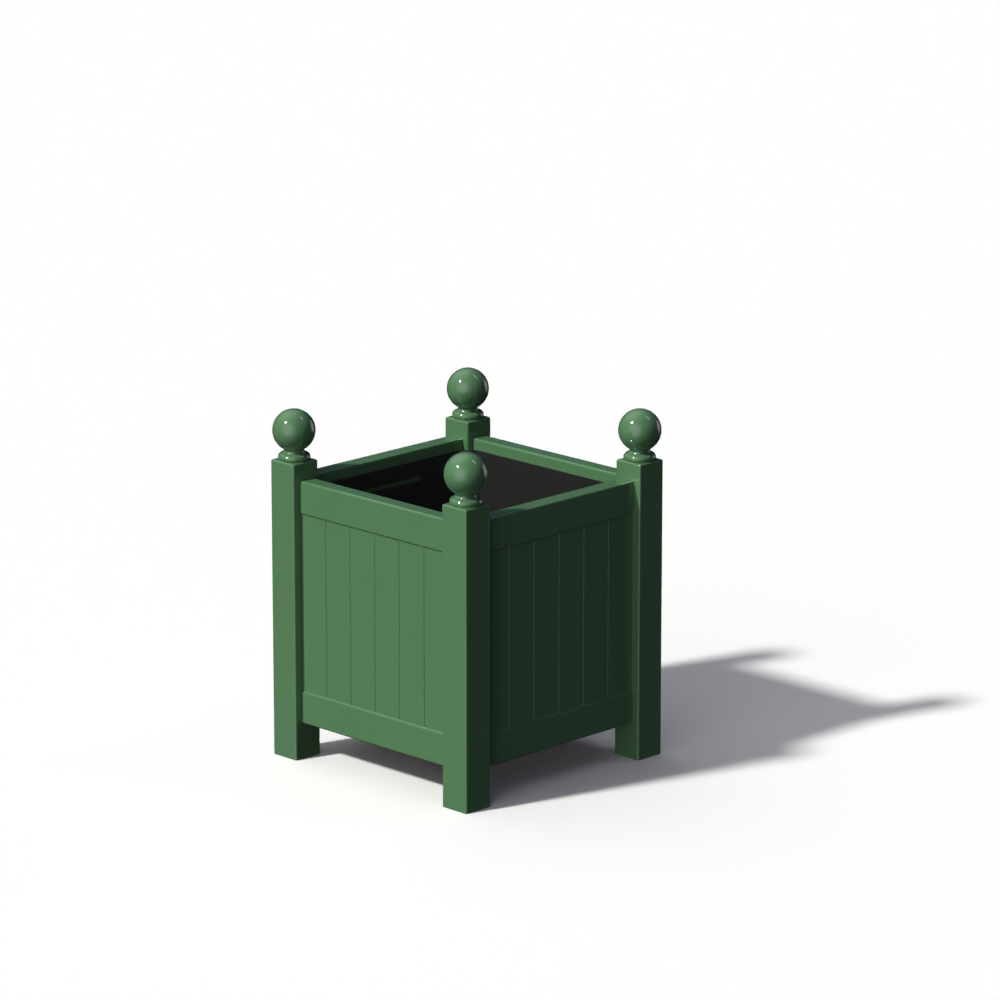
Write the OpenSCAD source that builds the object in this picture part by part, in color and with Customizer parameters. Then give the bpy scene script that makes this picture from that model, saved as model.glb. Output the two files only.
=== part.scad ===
// Square planter box in the Versailles style.
// Four mortised posts carry ball finials. Between the posts, two rails a side hold
// tongued and grooved boards. A slatted floor carries a liner that lifts out.
// Origin: centre of the footprint on the ground. +Z is up and the front side faces -Y.

/* [Overall] */
// Width of the square planter, measured over the posts
overall_w = 500; // [420:5:700]

/* [Posts] */
// Side of each square post
post_w = 61; // [56:1:80]
// Height of the posts without their finials
post_h = 555; // [460:5:760]
// Radius of the eased edges on posts and rails
edge_r = 4; // [2:0.5:6]
// Radius of the eased edges under the posts
foot_edge_r = 1.5; // [1:0.5:2]

/* [Rails] */
// Height of the top and bottom rails
rail_h = 62; // [50:0.5:80]
// Thickness of the rails
rail_t = 33; // [28:0.5:34]
// Distance from the post faces back to the rail faces
rail_set_back = 15; // [12:0.5:18]
// Drop from the post tops to the top rails
top_drop = 32; // [15:1:60]
// Height of the bottom rails above the ground
leg_clear = 68; // [40:1:120]
// Length of the tenons on the rails
tenon_l = 22; // [16:1:24]
// Thickness of the tenons
tenon_t = 12; // [8:0.5:14]
// Shoulder above and below each tenon
tenon_shoulder = 11; // [10:0.5:14]
// Diameter of the pegs that lock the tenons
peg_d = 6; // [5:0.5:7]
// Distance from the shoulders of a tenon to its peg
peg_in = 8.5; // [8:0.5:9]
// Height of each peg above or below the middle of its rail
peg_stagger = 10; // [7:0.5:12]
// Length of a peg beyond its tenon
peg_past = 8; // [4:0.5:10]

/* [Boards] */
// Number of boards in each side
boards_per_side = 6; // [4:1:7]
// Thickness of the boards
board_t = 18; // [15:0.5:20]
// Distance from the rail faces back to the board faces
board_set_back = 3; // [2:0.5:5]
// Width of the bevel on each board edge at a joint
bevel_w = 1.2; // [1:0.2:4]
// Thickness of the tongue between two boards
tongue_t = 5; // [4:0.5:6]
// Length of the tongue between two boards
tongue_l = 6; // [4:0.5:8]
// Thickness of the tongue that enters rails and posts
rim_tongue_t = 8; // [6:0.5:9]
// Length of the tongue that enters rails and posts
rim_tongue_l = 8; // [5:0.5:8.5]

/* [Finials] */
// Diameter of the ball
ball_d = 78; // [60:1:100]
// Height of the ball's centre above the post
ball_rise = 54; // [50:0.5:62]
// Diameter of the neck under the ball
neck_d = 37.6; // [30:0.2:44]
// Radius of the cove from the neck to the bead
cove_r = 4.5; // [3:0.1:5.5]
// Diameter over the bead
bead_d = 58.6; // [54:0.2:60]
// Radius of the bead's round
bead_r = 7.5; // [6:0.1:8]
// Height of the bead's centre above the post
bead_rise = 5.3; // [4:0.1:7]
// Diameter of the stud that holds the finial
stud_d = 8; // [6:0.5:12]
// Length of the stud in the post, and again in the finial
stud_half_l = 32; // [20:1:45]

/* [Floor] */
// Width of the bearers
bearer_w = 28; // [24:1:40]
// Height of the bearers
bearer_h = 28; // [24:1:40]
// Height of the bearers above the underside of the bottom rails
bearer_rise = 6; // [0:1:15]
// Number of floor slats
slat_count = 5; // [4:1:7]
// Thickness of the slats
slat_t = 18; // [14:1:22]
// Gap between slats
slat_gap = 10; // [6:1:16]
// Radius of the eased edges on bearers and slats
batten_edge_r = 2; // [1:0.5:3]
// Diameter of the slat screws
slat_screw_d = 4; // [3.5:0.5:5]
// Length of the slat screws
slat_screw_l = 36; // [28:1:38]
// Distance of the slat screws from the slat's edges
slat_screw_in = 17; // [12:0.5:22]
// Diameter of the bearer screws
bearer_screw_d = 5; // [4:0.5:6]
// Length of the bearer screws
bearer_screw_l = 46; // [36:1:48]

/* [Liner] */
// Wall thickness of the liner
liner_t = 3; // [2:0.5:5]
// Drop from the top of the rails to the liner's rim
liner_drop = 20; // [5:1:40]
// Gap all round between the liner and the frame
liner_gap = 0.8; // [0.5:0.1:3]
// Radius of the liner's upright edges
liner_edge_r = 8; // [6:0.5:14]
// Width of the two lifting slots
slot_w = 158; // [90:1:180]
// Height of the lifting slots
slot_h = 11; // [10:1:30]
// Drop from the rim to the lifting slots
slot_drop = 29.5; // [15:0.5:60]
// Corner radius of the lifting slots
slot_r = 2.5; // [1:0.5:4.5]
// Diameter of the drain holes
drain_d = 12; // [6:1:20]
// Distance of the drain holes from the liner's front and back walls
drain_inset = 90; // [50:5:120]

/* [Clearances] */
// Clearance round tenons, tongues and shoulders
joint_gap = 0.2; // [0.1:0.05:0.4]
// Clearance round pegs, studs and screws
pin_gap = 0.1; // [0.05:0.05:0.2]
// Clearance at each end of bearers and slats
floor_gap = 1; // [0.5:0.25:3]
// Spare depth at the bottom of blind holes and grooves
blind_gap = 0.8; // [0.5:0.1:1]

/* [Hidden] */
$fn = 72;
SIDES = ["front", "right", "back", "left"];
CORNERS = ["front_right", "back_right", "back_left", "front_left"];
PAINT = [0.31, 0.47, 0.32];
PRIMED = [0.42, 0.50, 0.40];
STEEL = [0.70, 0.70, 0.72];
BLACK = [0.07, 0.07, 0.065];
// Countersunk screws, as shares of their shank diameter
SCREW_HEAD = 2;
SCREW_DRIVE = 0.9;
SCREW_POINT = 0.25;
// Straight pieces that stand for each arc of the bead, the cove and the liner's edges
BEAD_STEPS = 12;
COVE_STEPS = 6;
EDGE_STEPS = 4;

// Plan lines of the frame, as distances from the middle
outer = overall_w / 2;
post_in = outer - post_w;
post_mid = outer - post_w / 2;
rail_face = outer - rail_set_back;
rail_in = rail_face - rail_t;
board_face = rail_face - board_set_back;
panel_line = board_face - board_t / 2;
span = 2 * post_in;

// Levels of the frame
top_rail_top = post_h - top_drop;
top_rail_z = top_rail_top - rail_h;
bottom_rail_top = leg_clear + rail_h;
board_low = bottom_rail_top + joint_gap;
board_high = top_rail_z - joint_gap;
groove_d = rim_tongue_l + blind_gap;
groove_w = rim_tongue_t + 2 * joint_gap;
board_pitch = span / boards_per_side;

// Joinery
mortise_l = tenon_l + blind_gap;
tenon_h = rail_h - 2 * tenon_shoulder;
peg_x = post_in + peg_in;
peg_end = panel_line + tenon_t / 2 + peg_past;
peg_l = peg_end - post_in;

// Floor
bearer_z = leg_clear + bearer_rise;
bearer_top = bearer_z + bearer_h;
floor_top = bearer_top + slat_t;
bearer_l = span - 2 * floor_gap;
bearer_mid = rail_in - bearer_w / 2;
slat_l = 2 * (rail_in - floor_gap);
slat_w = (span - 2 * floor_gap - (slat_count - 1) * slat_gap) / slat_count;
slat_pitch = slat_w + slat_gap;
slat_screw_x = slat_w / 2 - slat_screw_in;
bearer_screws_x = (slat_count / 2 - 1) * slat_pitch;

// Liner
liner_half = rail_in - liner_gap;
liner_side = 2 * post_in - sqrt(2) * liner_gap - liner_half;
liner_top = top_rail_top - liner_drop;
liner_h = liner_top - floor_top;
slot_z = liner_top - slot_drop - slot_h / 2;

// Points along an arc about centre c
function arc(c, r, from, to, n) = [
  for (i = [0:n])
    let (t = from + (to - from) * i / n)
      [c[0] + r * cos(t), c[1] + r * sin(t)]
];

// A point turned about the origin
function turned(p, a) = [p[0] * cos(a) - p[1] * sin(a), p[0] * sin(a) + p[1] * cos(a)];

// Rectangle with round corners
module soft_rect(w, d, r) {
  square([w - 2 * r, d], center = true);
  square([w, d - 2 * r], center = true);
  for (x = [-1, 1], y = [-1, 1])
    translate([x * (w / 2 - r), y * (d / 2 - r)]) circle(r);
}

// Bar along X with its four long edges eased
module eased_bar(l, d, h, r) {
  rotate([90, 0, 90]) linear_extrude(l, center = true) soft_rect(d, h, r);
}

// Puts the front side's parts on side k
module on_side(k) {
  rotate([0, 0, 90 * k]) children();
}

// Puts parts drawn about a post's centre line on corner k
module on_corner(k) {
  rotate([0, 0, 90 * k]) translate([post_mid, -post_mid, 0]) children();
}

// ---- posts ----

// Peg of the front side's tenon at the end towards +X (end = 1) or -X (end = -1)
module peg(end, rail_z, gap = 0) {
  translate([end * peg_x, -post_in + gap, rail_z + rail_h / 2 + end * peg_stagger])
    rotate([90, 0, 0])
      cylinder(d = peg_d + 2 * gap, h = peg_l + (gap > 0 ? gap + blind_gap : 0));
}

// What the front side cuts out of the post at one of its ends
module side_joinery(end) {
  for (z = [leg_clear, top_rail_z]) {
    translate([end * (post_in + mortise_l / 2), -panel_line, z + rail_h / 2])
      cube([mortise_l, tenon_t + 2 * joint_gap, tenon_h + 2 * joint_gap], center = true);
    peg(end, z, pin_gap);
  }
  translate([end * (post_in + groove_d / 2), -panel_line, (bottom_rail_top + top_rail_z) / 2])
    cube([groove_d, groove_w, top_rail_z - bottom_rail_top + 2 * groove_d], center = true);
}

// Square post with its outer edges eased, and less so underneath
module post_blank() {
  intersection() {
    linear_extrude(post_h) soft_rect(post_w, post_w, edge_r);
    post_profile(0);
    post_profile(90);
  }
}

// The post's side view, as deep as the post, turned about its centre line
module post_profile(turn) {
  rotate([0, 0, turn]) rotate([90, 0, 0]) linear_extrude(post_w, center = true) {
    translate([0, post_h / 2]) soft_rect(post_w, post_h, edge_r);
    translate([0, edge_r]) soft_rect(post_w, 2 * edge_r, foot_edge_r);
  }
}

module post(k) {
  color(PAINT) difference() {
    on_corner(k) post_blank();
    on_side(k) side_joinery(1);
    on_side(k + 1) side_joinery(-1);
    on_corner(k) translate([0, 0, post_h - stud_half_l - blind_gap])
      cylinder(d = stud_d + 2 * pin_gap, h = stud_half_l + 2 * blind_gap);
  }
}

// ---- rails ----

// Rail of the front side, with its tenons; groove_up puts the board groove in its top
module rail(rail_z, groove_up) {
  edge_z = groove_up ? rail_z + rail_h : rail_z;
  difference() {
    union() {
      translate([0, -(rail_face + rail_in) / 2, rail_z + rail_h / 2])
        eased_bar(span, rail_t, rail_h, edge_r);
      translate([0, -panel_line, rail_z + rail_h / 2])
        cube([span + 2 * tenon_l, tenon_t, tenon_h], center = true);
    }
    translate([0, -panel_line, edge_z])
      cube([span + 2 * blind_gap, groove_w, 2 * groove_d], center = true);
    for (end = [-1, 1]) peg(end, rail_z, pin_gap);
  }
}

module top_rail(k) {
  color(PAINT) on_side(k) rail(top_rail_z, false);
}

module bottom_rail(k) {
  color(PAINT) on_side(k) difference() {
    rail(leg_clear, true);
    if (k % 2 == 0) bearer_screw_set(pin_gap);
  }
}

// ---- boards ----

// Left and right edges of the front side's board b
function board_left(b) = -post_in + (b - 1) * board_pitch + joint_gap;
function board_right(b) = -post_in + b * board_pitch - joint_gap;

// Plan of the front side's board b, bevelled where it meets another board
module board_plan(b) {
  difference() {
    translate([board_left(b), -board_face])
      square([board_right(b) - board_left(b), board_t]);
    if (b > 1)
      translate([board_left(b), -board_face]) rotate(45)
        square(bevel_w * sqrt(2), center = true);
    if (b < boards_per_side)
      translate([board_right(b), -board_face]) rotate(45)
        square(bevel_w * sqrt(2), center = true);
  }
}

// Upright slab in the middle of the panel's thickness, from x = from to x = to
module panel_slab(from, to, thickness, past_ends) {
  translate([from, -panel_line - thickness / 2, board_low - past_ends])
    cube([to - from, thickness, board_high - board_low + 2 * past_ends]);
}

// Board with tongues into both rails, into the next board and, at the ends, into the post
module board(k, b) {
  first = b == 1;
  last = b == boards_per_side;
  color(PAINT) on_side(k) difference() {
    union() {
      translate([0, 0, board_low]) linear_extrude(board_high - board_low) board_plan(b);
      panel_slab(first ? -post_in - rim_tongue_l : board_left(b),
                 last ? post_in + rim_tongue_l : board_right(b), rim_tongue_t, rim_tongue_l);
      if (!last)
        panel_slab(board_right(b) - tongue_l, board_right(b) + tongue_l, tongue_t, rim_tongue_l);
    }
    if (!first)
      panel_slab(board_left(b) - tongue_l, board_left(b) + tongue_l + blind_gap,
                 tongue_t + 2 * joint_gap, 2 * rim_tongue_l);
  }
}

// ---- finials ----

// Half outline of the foot, from the post up into the ball
function finial_foot() =
  let (
    bead_c = [bead_d / 2 - bead_r, bead_rise],
    cove_x = neck_d / 2 + cove_r,
    reach = bead_r + cove_r,
    cove_c = [cove_x, bead_rise + sqrt(pow(reach, 2) - pow(cove_x - bead_c[0], 2))],
    meet = atan2(cove_c[1] - bead_c[1], cove_c[0] - bead_c[0]),
    foot = -asin(bead_rise / bead_r)
  )
  concat(
    [[0, 0]],
    arc(bead_c, bead_r, foot, meet, BEAD_STEPS),
    arc(cove_c, cove_r, meet + 180, 180, COVE_STEPS),
    [[neck_d / 2, ball_rise - ball_d / 4], [0, ball_rise - ball_d / 4]]
  );

module finial(k) {
  color(PAINT) on_corner(k) translate([0, 0, post_h]) difference() {
    union() {
      translate([0, 0, ball_rise]) sphere(d = ball_d);
      rotate_extrude() polygon(finial_foot());
    }
    translate([0, 0, -blind_gap])
      cylinder(d = stud_d + 2 * pin_gap, h = stud_half_l + 2 * blind_gap);
  }
}

module finial_studs() {
  color(STEEL) for (k = [0:3])
    on_corner(k) translate([0, 0, post_h - stud_half_l])
      cylinder(d = stud_d, h = 2 * stud_half_l);
}

module tenon_pegs() {
  color(PAINT) for (k = [0:3], end = [-1, 1], z = [leg_clear, top_rail_z])
    on_side(k) peg(end, z);
}

// ---- floor ----

// Countersunk screw, head up at the origin; gap > 0 draws the hole for it
module screw(d, l, gap = 0) {
  head_d = SCREW_HEAD * d;
  head_h = (head_d - d) / 2;
  difference() {
    union() {
      translate([0, 0, -head_h - gap])
        cylinder(d1 = d + 2 * gap, d2 = head_d + 2 * gap, h = head_h + gap);
      translate([0, 0, d - l]) cylinder(d = d + 2 * gap, h = l - d - head_h / 2);
      translate([0, 0, -l - gap]) cylinder(d1 = SCREW_POINT * d, d2 = d + 2 * gap, h = d + gap);
    }
    if (gap == 0)
      translate([0, 0, -head_h / 2]) cylinder(d = SCREW_DRIVE * d, h = head_h, $fn = 6);
  }
}

// Bearer screws of the front side, driven from inside into the bottom rail
module bearer_screw_set(gap = 0) {
  for (x = [-1, 0, 1])
    translate([x * bearer_screws_x, -(rail_in - bearer_w), bearer_z + bearer_h / 2])
      rotate([-90, 0, 0]) screw(bearer_screw_d, bearer_screw_l, gap);
}

// Slat screws at the front side's ends of the slats
module slat_screw_set(gap = 0) {
  for (i = [1:slat_count], x = [-1, 1])
    translate([slat_x(i) + x * slat_screw_x, -bearer_mid, floor_top])
      screw(slat_screw_d, slat_screw_l, gap);
}

// Middle of slat i
function slat_x(i) = (i - (slat_count + 1) / 2) * slat_pitch;

module bearer(k) {
  color(PRIMED) on_side(k) difference() {
    translate([0, -bearer_mid, bearer_z + bearer_h / 2])
      eased_bar(bearer_l, bearer_w, bearer_h, batten_edge_r);
    bearer_screw_set(pin_gap);
    slat_screw_set(pin_gap);
  }
}

module floor_slat(i) {
  color(PRIMED) difference() {
    translate([slat_x(i), 0, bearer_top + slat_t / 2]) rotate([0, 0, 90])
      eased_bar(slat_l, slat_w, slat_t, batten_edge_r);
    for (k = [0, 2]) on_side(k) slat_screw_set(pin_gap);
  }
}

module bearer_screws() {
  color(STEEL) for (k = [0, 2]) on_side(k) bearer_screw_set();
}

module slat_screws() {
  color(STEEL) for (k = [0, 2]) on_side(k) slat_screw_set();
}

// ---- liner ----

// Square outline with cut corners: sides at half, each cut from side to half, edges of radius r
function liner_outline(half, side, r) =
  let (back = r / cos(22.5))
  [
    for (q = [0:3])
      each [
        for (
          p = concat(
            arc([half - back * cos(22.5), side - back * sin(22.5)], r, 0, 45, EDGE_STEPS),
            arc([side - back * sin(22.5), half - back * cos(22.5)], r, 45, 90, EDGE_STEPS)
          )
        )
          turned(p, 90 * q)
      ]
  ];

module liner() {
  inner_side = liner_side - liner_t * (sqrt(2) - 1);
  color(BLACK) difference() {
    translate([0, 0, floor_top]) linear_extrude(liner_h)
      polygon(liner_outline(liner_half, liner_side, liner_edge_r));
    translate([0, 0, floor_top + liner_t]) linear_extrude(liner_h)
      polygon(liner_outline(liner_half - liner_t, inner_side, liner_edge_r - liner_t));
    translate([0, 0, slot_z]) rotate([90, 0, 90])
      linear_extrude(2 * outer, center = true) soft_rect(slot_w, slot_h, slot_r);
    for (x = [-1, 1], y = [-1, 1])
      translate([x * bearer_screws_x, y * (liner_half - drain_inset), floor_top - liner_t])
        cylinder(d = drain_d, h = 3 * liner_t);
  }
}

// ---- nodes ----

for (k = [0:3]) {
  post(k);
  finial(k);
  top_rail(k);
  bottom_rail(k);
}
for (k = [0:3], b = [1:boards_per_side])
  board(k, b);
for (i = [1:slat_count])
  floor_slat(i);
bearer(0);  // bearer_front
bearer(2);  // bearer_back
liner();
tenon_pegs();
finial_studs();
slat_screws();
bearer_screws();
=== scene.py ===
"""Versailles planter: painted timber box with ball finials and a black liner that lifts out.

Lengths are in metres, in the CAD's own frame: +Z is up and the front side faces -Y. Angles are
in degrees. Azimuth 0 points to -Y and 90 to +X.
"""

import math

import bmesh
import bpy
from mathutils import Matrix, Vector


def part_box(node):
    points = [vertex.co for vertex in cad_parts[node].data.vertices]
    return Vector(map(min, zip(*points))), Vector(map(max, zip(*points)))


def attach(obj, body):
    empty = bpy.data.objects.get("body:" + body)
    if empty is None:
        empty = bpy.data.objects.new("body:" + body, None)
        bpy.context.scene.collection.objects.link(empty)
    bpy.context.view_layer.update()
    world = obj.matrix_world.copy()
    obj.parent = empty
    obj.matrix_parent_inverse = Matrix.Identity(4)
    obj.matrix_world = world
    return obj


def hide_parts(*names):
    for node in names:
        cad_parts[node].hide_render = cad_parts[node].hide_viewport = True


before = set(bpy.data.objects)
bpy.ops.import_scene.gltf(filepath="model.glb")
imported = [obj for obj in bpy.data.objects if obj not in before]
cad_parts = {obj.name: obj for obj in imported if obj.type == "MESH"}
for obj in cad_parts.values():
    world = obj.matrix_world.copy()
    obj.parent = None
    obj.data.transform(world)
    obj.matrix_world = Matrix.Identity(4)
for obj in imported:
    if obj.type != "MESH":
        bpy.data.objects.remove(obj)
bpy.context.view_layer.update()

MM = 0.001
SIDES = ("front", "right", "back", "left")
CORNERS = ("front_right", "back_right", "back_left", "front_left")

# Planes that the CAD's boxes give
POST_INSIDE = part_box("post_front_right")[0].x
RAIL_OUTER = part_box("top_rail_front")[0].y
RAIL_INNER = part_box("top_rail_front")[1].y
RAIL_LEVELS = {
    where: [corner.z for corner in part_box(where + "_rail_front")]
    for where in ("bottom", "top")
}

# Posts and rails
EDGE_R = 4 * MM
FOOT_EDGE_R = 1.5 * MM
EDGE_STEPS = 6
FOOT_EDGE_STEPS = 4

# Boards; they and the rails run on into what holds them by EMBED
BOARDS_PER_SIDE = 6
BOARD_T = 18 * MM
BOARD_SET_BACK = 3 * MM
BOARD_GAP = 0.27 * MM
BEVEL = 1.1 * MM
SOFT_R = 0.4 * MM
SOFT_STEPS = 3
EMBED = 1.5 * MM

# Ends of the pegs; the profile is in shares of the radius and of how proud they are
PEG_R = 3 * MM
PEG_IN = 8.5 * MM
PEG_STAGGER = 10 * MM
PEG_PROUD = 0.25 * MM
PEG_SHOWN = 8 * MM
PEG_SHOULDER = (0.86, 0.6)
PEG_TOP = (0.45, 1.0)
PEG_STEPS = 24

# Finial, from the post upwards
BEAD_C = (21.8 * MM, 5.3 * MM)
BEAD_R = 7.5 * MM
BEAD_STEPS = 20
COVE_R = 4.5 * MM
COVE_STEPS = 10
NECK_R = 18.8 * MM
NECK_FILLET = 1.5 * MM
NECK_STEPS = 5
BALL_R = 39 * MM
BALL_RISE = 54 * MM
BALL_STEPS = 52
TURNED_STEPS = 112

# Liner
LINER_T = 3 * MM
LINER_EDGE_R = 8 * MM
LINER_EDGE_STEPS = 6
LINER_FOOT_R = 2 * MM
LINER_FOOT_STEPS = 4
LINER_RIM_R = 0.7 * MM
LINER_RIM_STEPS = 4
LINER_FILLET_R = 4 * MM
LINER_FILLET_STEPS = 6
SLOT_W = 158 * MM
SLOT_H = 11 * MM
SLOT_R = 2.5 * MM
SLOT_DROP = 29.5 * MM
SLOT_STEPS = 5
SLOT_CUT_SHARE = 1.2
DRAIN_R = 6 * MM
DRAIN_X = 115.8 * MM
DRAIN_Y = 111.2 * MM
DRAIN_STEPS = 48

# Shading of the meshes
SHARP_ANGLE = 38
FLAT_FACE_WEIGHT = 100

# Colours, linear
PAINT = (0.0915, 0.2060, 0.0912, 1)
PAINT_DEEP = (0.0886, 0.2000, 0.0884, 1)
TIMBER_PALE = (0.42, 0.37, 0.20, 1)
TIMBER_DARK = (0.22, 0.19, 0.095, 1)
LINER_BLACK = (0.0124, 0.0126, 0.0108, 1)
LINER_GREY = (0.0146, 0.0148, 0.0128, 1)
ZINC = (0.56, 0.57, 0.59, 1)
ZINC_DULL = (0.46, 0.47, 0.49, 1)
FLOOR_WHITE = (0.985, 0.980, 0.938, 1)
FLOOR_GLOW = (0.004, 0.004, 0.004, 1)
BACKDROP_WHITE = (1.0, 1.0, 1.0, 1)
LAMP_WHITE = (1.0, 1.0, 1.0, 1)
ROOM_HIGH = (0.001, 0.003, 0.044, 1)
ROOM_LOW = (0.012, 0.004, 0.018, 1)

# Finishes. Rates are features to a metre, across and along the grain where there are two.
# Heights are those of the bumps, and roughness goes from the first value to the second.
NOISE_DETAIL = 2.0
FINE_DETAIL = 3.0
NOISE_SPAN = (0.3, 0.7)
PAINT_CLOUD_RATE = 7.0
PAINT_PEEL_RATE = 240.0
PAINT_PEEL_DETAIL = 1.0
PAINT_PEEL_HEIGHT = 0.0008 * MM
PAINT_GRAIN_RATES = (420.0, 9.0)
PAINT_GRAIN_HEIGHT = 0.0006 * MM
PAINT_ROUGHNESS = (0.085, 0.1)
PAINT_SPECULAR = 0.89
RING_RATES = (90.0, 90.0 / 14)
RING_DISTORTION = 7.0
RING_DETAIL_SCALE = 0.6
FIBRE_RATES = (900.0, 30.0)
FIBRE_HEIGHT = 0.08 * MM
FIBRE_OFFSET = 0.12
TIMBER_ROUGHNESS = (0.62, 0.78)
LINER_CLOUD_RATE = 14.0
LINER_GRAIN_RATE = 850.0
LINER_GRAIN_HEIGHT = 0.03 * MM
LINER_ROUGHNESS = (0.34, 0.42)
LINER_SHEEN = 0.2
LINER_SHEEN_ROUGHNESS = 0.45
ZINC_CLOUD_RATE = 900.0
ZINC_ROUGHNESS = (0.28, 0.42)

# Camera, from a fit to the photograph; its target's shift is to its right and upwards
CAMERA_AZIMUTH = 45.0
CAMERA_ELEVATION = 15.02
CAMERA_DISTANCE = 10.1296
CAMERA_TARGET_SHIFT = (0.05941, 0.17269)
CAMERA_LENS = 201.6
CAMERA_SENSOR = 36.0
CAMERA_REACH = 200.0
AIM_HEIGHT = 0.3

# Stage
FLOOR_HALF = 50.0
BACKDROP_R = 48.0
BACKDROP_DETAIL = 4

# Light
SUN_AZIMUTH = -16.0
SUN_ELEVATION = 43.2
SUN_WIDTH = 5.1
SUN_STRENGTH = 3.22

# Soft lamps in the world: azimuth, elevation, tilt, half width, half height, strength
LAMPS = {
    "fill, left of the camera": (15.5, 11.5, 0, 35.3, 37.2, 1.09),
    "high, behind on the left": (-90, 60, 0, 34, 34, 0.76),
    "low strip, behind on the right": (168.5, 2, 0, 15, 16.6, 1.1),
    "narrow streak, high on the right": (142.8, 57, -32, 2.6, 10.8, 4.4),
}

# Where the room's light turns from low to high, as the height of a direction plus a half
ROOM_SPAN = (0.25, 0.75)
ROOM_OFFSET = 0.5


def direction(azimuth, elevation):
    """Unit vector towards an azimuth and an elevation."""
    a = math.radians(azimuth)
    e = math.radians(elevation)
    return Vector((math.sin(a) * math.cos(e), -math.cos(a) * math.cos(e), math.sin(e)))


# ---- node trees ----


def add(tree, kind, inputs=None, **settings):
    """A new node, its settings set and its inputs given a value or linked from a socket."""
    node = tree.nodes.new(kind)
    for name, value in settings.items():
        setattr(node, name, value)
    for name, value in (inputs or {}).items():
        if isinstance(value, bpy.types.NodeSocket):
            tree.links.new(value, node.inputs[name])
        else:
            node.inputs[name].default_value = value
    return node


def math_node(tree, operation, *values):
    found = add(tree, "ShaderNodeMath", dict(enumerate(values)), operation=operation)
    return found.outputs["Value"]


def dot(tree, first, second):
    inputs = {0: first, 1: second}
    found = add(tree, "ShaderNodeVectorMath", inputs, operation="DOT_PRODUCT")
    return found.outputs["Value"]


def noise(tree, vector, scale, detail=NOISE_DETAIL):
    inputs = {"Vector": vector, "Scale": scale, "Detail": detail}
    return add(tree, "ShaderNodeTexNoise", inputs).outputs["Fac"]


def between(tree, fac, values):
    """Goes from the first value to the second over the span that noise mostly fills."""
    inputs = {
        "Value": fac,
        "From Min": NOISE_SPAN[0],
        "From Max": NOISE_SPAN[1],
        "To Min": values[0],
        "To Max": values[1],
    }
    return add(tree, "ShaderNodeMapRange", inputs).outputs["Result"]


def two_tone(tree, fac, colours, span=NOISE_SPAN):
    """Goes from the first colour to the second as fac goes over a span."""
    ramp = add(tree, "ShaderNodeValToRGB", {"Fac": fac})
    for element, position, colour in zip(ramp.color_ramp.elements, span, colours):
        element.position = position
        element.color = colour
    return ramp.outputs["Color"]


def stretched(tree, coords, along, rates):
    """Coordinates scaled by the first rate, and along an axis (0, 1 or 2) by the second."""
    scale = [rates[0]] * 3
    scale[along] = rates[1]
    found = add(tree, "ShaderNodeMapping", {"Vector": coords, "Scale": scale})
    return found.outputs["Vector"]


def bump(tree, height, distance, below=None):
    """Relief on the surface, or on the relief below."""
    inputs = {"Height": height, "Distance": distance}
    if below is not None:
        inputs["Normal"] = below
    return add(tree, "ShaderNodeBump", inputs).outputs["Normal"]


# ---- materials ----


def new_material(name):
    material = bpy.data.materials.new(name)
    material.use_nodes = True
    material.node_tree.nodes.clear()
    return material, material.node_tree


def object_coords(tree):
    return add(tree, "ShaderNodeTexCoord").outputs["Object"]


def finish_material(tree, shader_inputs):
    shader = add(tree, "ShaderNodeBsdfPrincipled", shader_inputs)
    add(tree, "ShaderNodeOutputMaterial", {"Surface": shader.outputs["BSDF"]})


def paint_material(along):
    """Gloss exterior paint, sprayed over timber whose grain runs along an axis."""
    material, tree = new_material("green_paint_" + "xyz"[along])
    coords = object_coords(tree)
    cloud = noise(tree, coords, PAINT_CLOUD_RATE)
    peel = noise(tree, coords, PAINT_PEEL_RATE, PAINT_PEEL_DETAIL)
    grain = noise(tree, stretched(tree, coords, along, PAINT_GRAIN_RATES), 1.0, FINE_DETAIL)
    relief = bump(tree, peel, PAINT_PEEL_HEIGHT)
    finish_material(
        tree,
        {
            "Base Color": two_tone(tree, cloud, (PAINT_DEEP, PAINT)),
            "Roughness": between(tree, peel, PAINT_ROUGHNESS),
            "Specular IOR Level": PAINT_SPECULAR,
            "Normal": bump(tree, grain, PAINT_GRAIN_HEIGHT, relief),
        },
    )
    return material


def timber_material(along):
    """Planed, treated timber with rings and fibres along an axis."""
    material, tree = new_material("treated_timber_" + "xyz"[along])
    coords = object_coords(tree)
    rings = add(
        tree,
        "ShaderNodeTexWave",
        {
            "Vector": stretched(tree, coords, along, RING_RATES),
            "Scale": 1.0,
            "Distortion": RING_DISTORTION,
            "Detail": FINE_DETAIL,
            "Detail Scale": RING_DETAIL_SCALE,
        },
        wave_type="BANDS",
        bands_direction="DIAGONAL",
    ).outputs["Fac"]
    fibres = noise(tree, stretched(tree, coords, along, FIBRE_RATES), 1.0, FINE_DETAIL)
    mixed = math_node(tree, "MULTIPLY_ADD", rings, fibres, FIBRE_OFFSET)
    finish_material(
        tree,
        {
            "Base Color": two_tone(tree, mixed, (TIMBER_PALE, TIMBER_DARK)),
            "Roughness": between(tree, fibres, TIMBER_ROUGHNESS),
            "Normal": bump(tree, fibres, FIBRE_HEIGHT),
        },
    )
    return material


def liner_material():
    """Black moulded plastic with a fine grain."""
    material, tree = new_material("liner_plastic")
    coords = object_coords(tree)
    grain = noise(tree, coords, LINER_GRAIN_RATE)
    cloud = noise(tree, coords, LINER_CLOUD_RATE, FINE_DETAIL)
    finish_material(
        tree,
        {
            "Base Color": two_tone(tree, cloud, (LINER_BLACK, LINER_GREY)),
            "Roughness": between(tree, grain, LINER_ROUGHNESS),
            "Sheen Weight": LINER_SHEEN,
            "Sheen Roughness": LINER_SHEEN_ROUGHNESS,
            "Normal": bump(tree, grain, LINER_GRAIN_HEIGHT),
        },
    )
    return material


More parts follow.
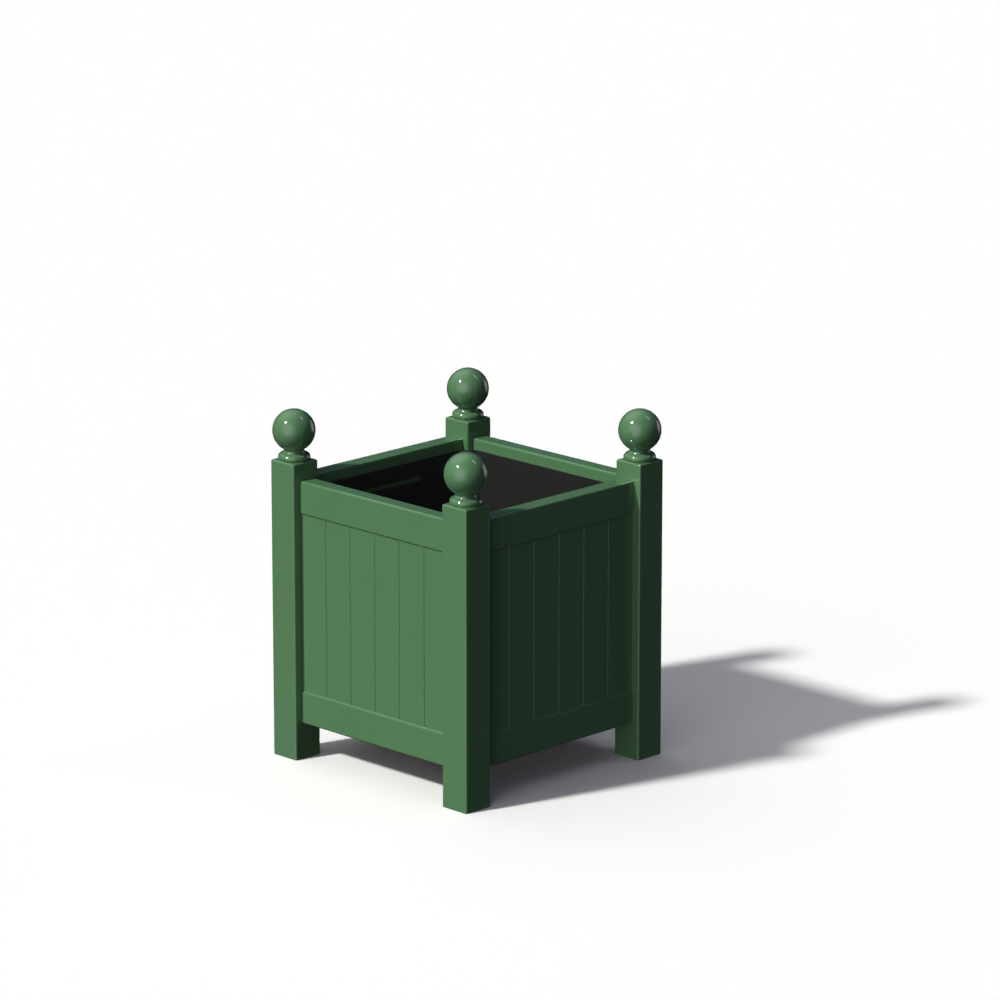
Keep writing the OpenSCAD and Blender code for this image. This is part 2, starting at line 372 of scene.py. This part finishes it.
def zinc_material():
    """Bright zinc plating, slightly clouded."""
    material, tree = new_material("zinc_steel")
    cloud = noise(tree, object_coords(tree), ZINC_CLOUD_RATE, FINE_DETAIL)
    finish_material(
        tree,
        {
            "Base Color": two_tone(tree, cloud, (ZINC_DULL, ZINC)),
            "Metallic": 1.0,
            "Roughness": between(tree, cloud, ZINC_ROUGHNESS),
        },
    )
    return material


def dress_cad_nodes():
    """Materials for the CAD nodes that stay as they are: the floor and the fasteners."""
    slat_timber = timber_material(1)
    bearer_timber = timber_material(0)
    zinc = zinc_material()
    for name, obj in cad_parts.items():
        if name in ("finial_studs", "slat_screws", "bearer_screws"):
            material = zinc
        elif name.startswith("floor_slat_"):
            material = slat_timber
        elif name.startswith("bearer_"):
            material = bearer_timber
        else:
            continue
        for slot in obj.material_slots:
            slot.material = material


# ---- meshes ----


def new_object(name, bm):
    """An object with a bmesh's shape, in the scene. The bmesh is used up."""
    mesh = bpy.data.meshes.new(name)
    bm.to_mesh(mesh)
    bm.free()
    obj = bpy.data.objects.new(name, mesh)
    bpy.context.scene.collection.objects.link(obj)
    return obj


def new_piece(name, bm, material, body, node):
    """An object that stands for a CAD node and rides on a body."""
    bmesh.ops.recalc_face_normals(bm, faces=bm.faces)
    obj = new_object(name, bm)
    mesh = obj.data
    mesh.polygons.foreach_set("use_smooth", [True] * len(mesh.polygons))
    mesh.set_sharp_from_angle(angle=math.radians(SHARP_ANGLE))
    mesh.materials.append(material)
    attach(obj, body)
    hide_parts(node)
    return obj


def new_painted_piece(name, bm, material, node):
    return new_piece(name, bm, material, "frame", node)


def keep_faces_flat(obj):
    """Shades large flat faces as flat, next to their rounded edges."""
    modifier = obj.modifiers.new("flat_faces", "WEIGHTED_NORMAL")
    modifier.keep_sharp = True
    modifier.weight = FLAT_FACE_WEIGHT


def arc(centre, radius, start, end, steps):
    """Points along an arc."""
    points = []
    for i in range(steps + 1):
        t = math.radians(start + (end - start) * i / steps)
        x = centre[0] + radius * math.cos(t)
        y = centre[1] + radius * math.sin(t)
        points.append((x, y))
    return points


def circle(centre, radius, steps):
    """Points round a whole circle."""
    return arc(centre, radius, 0, 360, steps)[:-1]


def soft_box(centre, half_width, half_height, radius, steps):
    """Points round a box with rounded corners."""
    reach_x = half_width - radius
    reach_y = half_height - radius
    points = []
    for start, sx, sy in ((0, 1, 1), (90, -1, 1), (180, -1, -1), (270, 1, -1)):
        middle = (centre[0] + sx * reach_x, centre[1] + sy * reach_y)
        points += arc(middle, radius, start, start + 90, steps)
    return points


def soft_corner(before, corner, after, radius):
    """The corner of a polygon, rounded to a radius."""
    c = Vector(corner)
    to_before = (Vector(before) - c).normalized()
    to_after = (Vector(after) - c).normalized()
    half = to_before.angle(to_after) / 2
    middle = c + (to_before + to_after).normalized() * radius / math.sin(half)
    start = (c + to_before * radius / math.tan(half) - middle).normalized()
    end = (c + to_after * radius / math.tan(half) - middle).normalized()
    points = []
    for i in range(SOFT_STEPS + 1):
        points.append(middle + radius * start.slerp(end, i / SOFT_STEPS))
    return points


def loft(bm, rings, closed_ends=True):
    """Joins rings of points, all of one length, with quads and caps the two ends."""
    rows = [[bm.verts.new(p) for p in ring] for ring in rings]
    for low, high in zip(rows, rows[1:]):
        for i in range(len(low)):
            j = (i + 1) % len(low)
            bm.faces.new((low[i], low[j], high[j], high[i]))
    if closed_ends:
        bm.faces.new(rows[0][::-1])
        bm.faces.new(rows[-1])
    return rows


def loft_upright(bm, outline, heights):
    """A plan, given in X and Y, drawn out from one height to another."""
    return loft(bm, [[(x, y, z) for x, y in outline] for z in heights])


def loft_sideways(bm, outline, reach):
    """An outline, given in Y and Z, drawn out as far to -X as to +X."""
    return loft(bm, [[(x, y, z) for y, z in outline] for x in (-reach, reach)])


def put_on_side(bm, side, verts):
    """Turns points of the front side to another side, counted anticlockwise from above."""
    turn = Matrix.Rotation(math.pi / 2 * side, 4, "Z")
    bmesh.ops.transform(bm, matrix=turn, verts=verts)


# ---- frame ----


def make_post(corner, material):
    """Square post, its edges eased all round and less so underneath."""
    node = "post_" + corner
    low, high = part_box(node)
    centre = (low + high) / 2
    half = (high.x - low.x) / 2
    foot = (FOOT_EDGE_R, low.z + FOOT_EDGE_R)
    head = (EDGE_R, high.z - EDGE_R)
    side_view = arc(foot, FOOT_EDGE_R, 270, 180, FOOT_EDGE_STEPS)
    side_view += arc(head, EDGE_R, 180, 90, EDGE_STEPS)
    rings = []
    for inset, z in side_view:
        radius = max(EDGE_R - inset, SOFT_R)
        plan = soft_box(centre, half - inset, half - inset, radius, EDGE_STEPS)
        rings.append([(x, y, z) for x, y in plan])
    bm = bmesh.new()
    loft(bm, rings)
    keep_faces_flat(new_painted_piece(node + "_painted", bm, material, node))


def make_rail(side, where, material):
    """Rail with its four long edges eased, its ends just inside the posts."""
    low, high = RAIL_LEVELS[where]
    centre = ((RAIL_OUTER + RAIL_INNER) / 2, (low + high) / 2)
    half_depth = (RAIL_INNER - RAIL_OUTER) / 2
    outline = soft_box(centre, half_depth, (high - low) / 2, EDGE_R, EDGE_STEPS)
    bm = bmesh.new()
    loft_sideways(bm, outline, POST_INSIDE + EMBED)
    put_on_side(bm, side, bm.verts)
    node = where + "_rail_" + SIDES[side]
    keep_faces_flat(new_painted_piece(node + "_painted", bm, material, node))


def board_outline(left, right, first, last, face):
    """Plan of a board, bevelled and softened where it meets a board and not a post."""
    back = face + BOARD_T
    corners = []
    if first:
        corners += [(left - EMBED, back, 0), (left - EMBED, face, 0)]
    else:
        corners += [(left, back, SOFT_R), (left, face + BEVEL, SOFT_R)]
        corners += [(left + BEVEL, face, SOFT_R)]
    if last:
        corners += [(right + EMBED, face, 0), (right + EMBED, back, 0)]
    else:
        corners += [(right - BEVEL, face, SOFT_R)]
        corners += [(right, face + BEVEL, SOFT_R), (right, back, SOFT_R)]
    outline = []
    for i, (x, y, radius) in enumerate(corners):
        before = corners[i - 1][:2]
        after = corners[(i + 1) % len(corners)][:2]
        if radius:
            outline += soft_corner(before, (x, y), after, radius)
        else:
            outline.append(Vector((x, y)))
    return outline


def make_board(side, number, material):
    """Board of a side's panel, counted from 1 at the left as seen from outside."""
    pitch = 2 * POST_INSIDE / BOARDS_PER_SIDE
    left = -POST_INSIDE + (number - 1) * pitch + BOARD_GAP
    right = -POST_INSIDE + number * pitch - BOARD_GAP
    face = RAIL_OUTER + BOARD_SET_BACK
    outline = board_outline(left, right, number == 1, number == BOARDS_PER_SIDE, face)
    low = RAIL_LEVELS["bottom"][1] - EMBED
    high = RAIL_LEVELS["top"][0] + EMBED
    bm = bmesh.new()
    loft_upright(bm, outline, (low, high))
    put_on_side(bm, side, bm.verts)
    node = "board_" + SIDES[side] + "_" + str(number)
    keep_faces_flat(new_painted_piece(node + "_painted", bm, material, node))


def finial_profile():
    """Half outline as radius and height, from the post up to the top of the ball."""
    cove_x = NECK_R + COVE_R
    reach = BEAD_R + COVE_R
    rise = math.sqrt(reach**2 - (cove_x - BEAD_C[0]) ** 2)
    cove_c = (cove_x, BEAD_C[1] + rise)
    meet = math.degrees(math.atan2(rise, cove_x - BEAD_C[0]))
    foot = -math.degrees(math.asin(BEAD_C[1] / BEAD_R))
    fillet_x = NECK_R + NECK_FILLET
    fillet_z = BALL_RISE - math.sqrt((BALL_R + NECK_FILLET) ** 2 - fillet_x**2)
    lean = math.degrees(math.atan2(BALL_RISE - fillet_z, -fillet_x))
    points = arc(BEAD_C, BEAD_R, foot, meet, BEAD_STEPS)
    points += arc(cove_c, COVE_R, meet + 180, 180, COVE_STEPS)[1:]
    points += arc((fillet_x, fillet_z), NECK_FILLET, 180, lean, NECK_STEPS)
    points += arc((0.0, BALL_RISE), BALL_R, lean - 180, 90, BALL_STEPS)[1:]
    return points


def make_finial(corner, material):
    """Turned ball on its neck, cove and bead."""
    node = "finial_" + corner
    low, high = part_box(node)
    centre = (low + high) / 2
    profile = finial_profile()
    rings = []
    for radius, rise in profile[:-1]:
        ring = circle(centre, radius, TURNED_STEPS)
        rings.append([(x, y, low.z + rise) for x, y in ring])
    bm = bmesh.new()
    rows = loft(bm, rings, closed_ends=False)
    bm.faces.new(rows[0][::-1])
    top = bm.verts.new((centre.x, centre.y, low.z + profile[-1][1]))
    for i in range(TURNED_STEPS):
        bm.faces.new((rows[-1][i], rows[-1][(i + 1) % TURNED_STEPS], top))
    new_painted_piece(node + "_turned", bm, material, node)


def peg_rings(centre):
    """The end of a front peg about its centre in X and Z, from inside the post outwards."""
    profile = [(PEG_R, -PEG_SHOWN), (PEG_R, 0.0)]
    for radius, proud in (PEG_SHOULDER, PEG_TOP):
        profile.append((PEG_R * radius, PEG_PROUD * proud))
    rings = []
    for radius, proud in profile:
        ring = circle(centre, radius, PEG_STEPS)
        rings.append([(x, -POST_INSIDE + proud, z) for x, z in ring])
    return rings


def make_pegs(material):
    """The ends of the sixteen pegs, painted over and just proud of the posts' inner faces."""
    bm = bmesh.new()
    for side in range(len(SIDES)):
        for end in (-1, 1):
            for low, high in RAIL_LEVELS.values():
                x = end * (POST_INSIDE + PEG_IN)
                z = (low + high) / 2 + end * PEG_STAGGER
                rows = loft(bm, peg_rings((x, z)))
                put_on_side(bm, side, [vert for row in rows for vert in row])
    new_painted_piece("tenon_pegs_domed", bm, material, "tenon_pegs")


# ---- liner ----


def liner_side():
    """Where the liner's straight sides end: its cut corners just pass the posts."""
    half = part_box("liner")[1].x
    gap = -RAIL_INNER - half
    return 2 * POST_INSIDE - math.sqrt(2) * gap - half


def liner_outline(inset, z):
    """The liner's plan at a height, drawn in from its outer face by inset."""
    eighth = math.radians(45)
    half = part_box("liner")[1].x - inset
    side = liner_side() - inset * math.tan(eighth / 2)
    radius = max(LINER_EDGE_R - inset, SOFT_R)
    near = half - radius
    far = side - radius * math.tan(eighth / 2)
    points = arc((near, far), radius, 0, 45, LINER_EDGE_STEPS)
    points += arc((far, near), radius, 45, 90, LINER_EDGE_STEPS)
    outline = []
    for quarter in range(4):
        turn = Matrix.Rotation(math.pi / 2 * quarter, 2)
        outline += [turn @ Vector(p) for p in points]
    return [(p.x, p.y, z) for p in outline]


def liner_shell():
    """The liner's skin, from its underside over the rim to its inner floor."""
    low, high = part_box("liner")
    floor = low.z + LINER_T
    foot = (LINER_FOOT_R, low.z + LINER_FOOT_R)
    outer_rim = (LINER_RIM_R, high.z - LINER_RIM_R)
    inner_rim = (LINER_T - LINER_RIM_R, high.z - LINER_RIM_R)
    fillet = (LINER_T + LINER_FILLET_R, floor + LINER_FILLET_R)
    section = arc(foot, LINER_FOOT_R, 270, 180, LINER_FOOT_STEPS)
    section += arc(outer_rim, LINER_RIM_R, 180, 90, LINER_RIM_STEPS)
    section += arc(inner_rim, LINER_RIM_R, 90, 0, LINER_RIM_STEPS)
    section += arc(fillet, LINER_FILLET_R, 180, 270, LINER_FILLET_STEPS)
    bm = bmesh.new()
    loft(bm, [liner_outline(inset, z) for inset, z in section])
    return bm


def slot_cutter():
    """Bar that runs on past the left and right walls."""
    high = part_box("liner")[1]
    centre = (0.0, high.z - SLOT_DROP - SLOT_H / 2)
    bm = bmesh.new()
    outline = soft_box(centre, SLOT_W / 2, SLOT_H / 2, SLOT_R, SLOT_STEPS)
    loft_sideways(bm, outline, SLOT_CUT_SHARE * high.x)
    return bm


def drain_cutter():
    """Four rods through the floor, from a thickness under it to two above."""
    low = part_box("liner")[0]
    bm = bmesh.new()
    for sx in (-1, 1):
        for sy in (-1, 1):
            hole = circle((sx * DRAIN_X, sy * DRAIN_Y), DRAIN_R, DRAIN_STEPS)
            loft_upright(bm, hole, (low.z - LINER_T, low.z + 3 * LINER_T))
    return bm


def cut(obj, bm):
    """Cuts a bmesh out of an object for good."""
    bmesh.ops.recalc_face_normals(bm, faces=bm.faces)
    cutter = new_object("cutter", bm)
    modifier = obj.modifiers.new("cut", "BOOLEAN")
    modifier.operation = "DIFFERENCE"
    modifier.solver = "EXACT"
    modifier.object = cutter
    bpy.context.view_layer.update()
    shape = obj.evaluated_get(bpy.context.evaluated_depsgraph_get())
    result = bpy.data.meshes.new_from_object(shape)
    obj.modifiers.clear()
    obj.data = result
    bpy.data.objects.remove(cutter)


def make_liner(material):
    """Open box with a slot in two walls and drain holes in its floor."""
    bm = liner_shell()
    obj = new_piece("liner_moulded", bm, material, "liner", "liner")
    cut(obj, slot_cutter())
    cut(obj, drain_cutter())
    obj.data.set_sharp_from_angle(angle=math.radians(SHARP_ANGLE))
    keep_faces_flat(obj)


# ---- stage ----


def to_stage(obj, material):
    """Only the camera sees it. It throws no light, shadow or reflection on the object, as the
    photograph's paint mirrors a dark studio."""
    obj.data.materials.append(material)
    obj.visible_diffuse = False
    obj.visible_glossy = False
    obj.visible_transmission = False
    obj.visible_shadow = False


def make_floor():
    """White floor that shows the object's shadow, and is clear when seen from below."""
    bm = bmesh.new()
    bmesh.ops.create_grid(bm, x_segments=1, y_segments=1, size=FLOOR_HALF)
    material, tree = new_material("floor_white")
    matt = add(tree, "ShaderNodeBsdfDiffuse", {"Color": FLOOR_WHITE}).outputs["BSDF"]
    glow = add(tree, "ShaderNodeEmission", {"Color": FLOOR_GLOW, "Strength": 1.0})
    inputs = {0: matt, 1: glow.outputs["Emission"]}
    lit = add(tree, "ShaderNodeAddShader", inputs).outputs["Shader"]
    clear = add(tree, "ShaderNodeBsdfTransparent").outputs["BSDF"]
    below = add(tree, "ShaderNodeNewGeometry").outputs["Backfacing"]
    mixed = add(tree, "ShaderNodeMixShader", {"Fac": below, 1: lit, 2: clear})
    add(tree, "ShaderNodeOutputMaterial", {"Surface": mixed.outputs["Shader"]})
    to_stage(new_object("floor", bm), material)


def make_backdrop():
    """A white sphere round everything, far away."""
    bm = bmesh.new()
    bmesh.ops.create_icosphere(bm, subdivisions=BACKDROP_DETAIL, radius=BACKDROP_R)
    material, tree = new_material("backdrop_white")
    glow = add(tree, "ShaderNodeEmission", {"Color": BACKDROP_WHITE, "Strength": 1.0})
    add(tree, "ShaderNodeOutputMaterial", {"Surface": glow.outputs["Emission"]})
    to_stage(new_object("backdrop", bm), material)


def make_camera():
    data = bpy.data.cameras.new("camera")
    data.lens = CAMERA_LENS
    data.sensor_width = CAMERA_SENSOR
    data.clip_end = CAMERA_REACH
    camera = bpy.data.objects.new("camera", data)
    bpy.context.scene.collection.objects.link(camera)
    back = direction(CAMERA_AZIMUTH, CAMERA_ELEVATION)
    right = direction(CAMERA_AZIMUTH + 90, 0)
    up = back.cross(right)
    target = Vector((0, 0, AIM_HEIGHT))
    target += CAMERA_TARGET_SHIFT[0] * right + CAMERA_TARGET_SHIFT[1] * up
    place = Matrix((right, up, back)).transposed().to_4x4()
    place.translation = target + CAMERA_DISTANCE * back
    camera.matrix_world = place
    bpy.context.scene.camera = camera


# ---- light ----


def make_sun():
    data = bpy.data.lights.new("key", "SUN")
    data.energy = SUN_STRENGTH
    data.angle = math.radians(SUN_WIDTH)
    sun = bpy.data.objects.new("key", data)
    bpy.context.scene.collection.objects.link(sun)
    back = direction(SUN_AZIMUTH, SUN_ELEVATION)
    sun.rotation_euler = back.to_track_quat("Z", "Y").to_euler()


def soft_lamp(tree, look, azimuth, elevation, tilt, half_width, half_height, strength):
    """How bright a soft-edged lamp in the world is in each direction."""
    centre = direction(azimuth, elevation)
    level = direction(azimuth + 90, 0)
    turn = Matrix.Rotation(math.radians(tilt), 3, centre)
    squares = []
    for axis, half in ((level, half_width), (centre.cross(level), half_height)):
        away = dot(tree, look, turn @ axis)
        away = math_node(tree, "DIVIDE", away, math.sin(math.radians(half)))
        squares.append(math_node(tree, "MULTIPLY", away, away))
    total = math_node(tree, "ADD", *squares)
    total = math_node(tree, "MULTIPLY", total, total)
    fall = math_node(tree, "EXPONENT", math_node(tree, "MULTIPLY", total, -1.0))
    front = math_node(tree, "GREATER_THAN", dot(tree, look, centre), 0.0)
    shape = math_node(tree, "MULTIPLY", fall, front)
    return math_node(tree, "MULTIPLY", shape, strength)


def make_world():
    """Soft studio lamps in a room that is dark, bluish above and faintly violet below."""
    world = bpy.data.worlds.new("studio")
    world.use_nodes = True
    tree = world.node_tree
    tree.nodes.clear()
    look = add(tree, "ShaderNodeTexCoord").outputs["Generated"]
    total = 0.0
    for lamp in LAMPS.values():
        total = math_node(tree, "ADD", soft_lamp(tree, look, *lamp), total)
    lamps = add(tree, "ShaderNodeBackground", {"Color": LAMP_WHITE, "Strength": total})
    height = add(tree, "ShaderNodeSeparateXYZ", {"Vector": look}).outputs["Z"]
    height = math_node(tree, "ADD", height, ROOM_OFFSET)
    walls = two_tone(tree, height, (ROOM_LOW, ROOM_HIGH), ROOM_SPAN)
    room = add(tree, "ShaderNodeBackground", {"Color": walls, "Strength": 1.0})
    inputs = {0: lamps.outputs["Background"], 1: room.outputs["Background"]}
    both = add(tree, "ShaderNodeAddShader", inputs)
    add(tree, "ShaderNodeOutputWorld", {"Surface": both.outputs["Shader"]})
    bpy.context.scene.world = world


# ---- the scene ----

paint = [paint_material(axis) for axis in range(3)]
for corner in CORNERS:
    make_post(corner, paint[2])
    make_finial(corner, paint[2])
for side in range(len(SIDES)):
    for where in RAIL_LEVELS:
        make_rail(side, where, paint[side % 2])
    for number in range(1, BOARDS_PER_SIDE + 1):
        make_board(side, number, paint[2])
make_pegs(paint[2])
make_liner(liner_material())
dress_cad_nodes()

make_floor()
make_backdrop()
make_camera()
make_sun()
make_world()
bpy.context.scene.view_settings.view_transform = "Standard"
